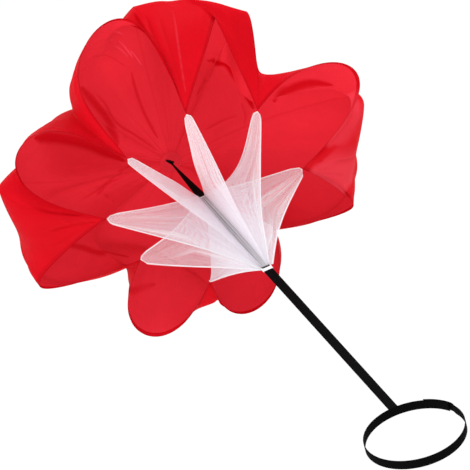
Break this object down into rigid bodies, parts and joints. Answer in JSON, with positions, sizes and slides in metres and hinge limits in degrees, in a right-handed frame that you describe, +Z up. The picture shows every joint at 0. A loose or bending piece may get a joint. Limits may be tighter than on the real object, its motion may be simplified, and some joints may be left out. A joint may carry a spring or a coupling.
{
  "type": "speed parachute",
  "caption": "Inflated drag parachute for running practice, with a mesh-tied canopy on a webbing strap and a waist belt that opens at an overlapping tail.",
  "frame": {"origin": "centre of the waist belt, at half its height", "axes": "+Y back from the runner along the tow strap to the canopy, +Z up, +X to the runner's right"},
  "size_m": [1.0031, 1.8463, 0.9567],
  "materials": {
    "webbing": "black polyester webbing",
    "tape": "black hook and loop tape",
    "mesh": "fine white open mesh, partly see-through",
    "canopy": "thin red nylon, slightly see-through"
  },
  "bodies": {
    "belt": {"belt_webbing": "webbing", "belt_loop_tape": "tape", "strap_belt_tab": "webbing"},
    "tail": {"belt_tail": "webbing", "belt_hook_tape": "tape"},
    "chute": {"tow_strap": "webbing", "strap_crown_tab": "webbing", "neck_sleeve": "mesh", "strap_cover": "mesh", "crown_patch": "canopy", "mesh_vane_1": "mesh", "mesh_vane_2": "mesh", "mesh_vane_3": "mesh", "mesh_vane_4": "mesh", "mesh_vane_5": "mesh", "mesh_vane_6": "mesh", "mesh_vane_7": "mesh", "mesh_vane_8": "mesh", "canopy_gore_1": "canopy", "canopy_gore_2": "canopy", "canopy_gore_3": "canopy", "canopy_gore_4": "canopy", "canopy_gore_5": "canopy", "canopy_gore_6": "canopy", "canopy_gore_7": "canopy", "canopy_gore_8": "canopy"}
  },
  "joints": [
    {"name": "tail_peel", "type": "hinge", "parent": "belt", "child": "tail", "pos_m": [0.12397, 0.02666, 0], "axis": [0, 0, -1], "range_deg": [0, 70]},
    {"name": "fold_pitch", "type": "hinge", "parent": "belt", "child": "chute", "pos_m": [0, 0.12885, 0.0098], "axis": [1, 0, 0], "range_deg": [0, 40]}
  ]
}
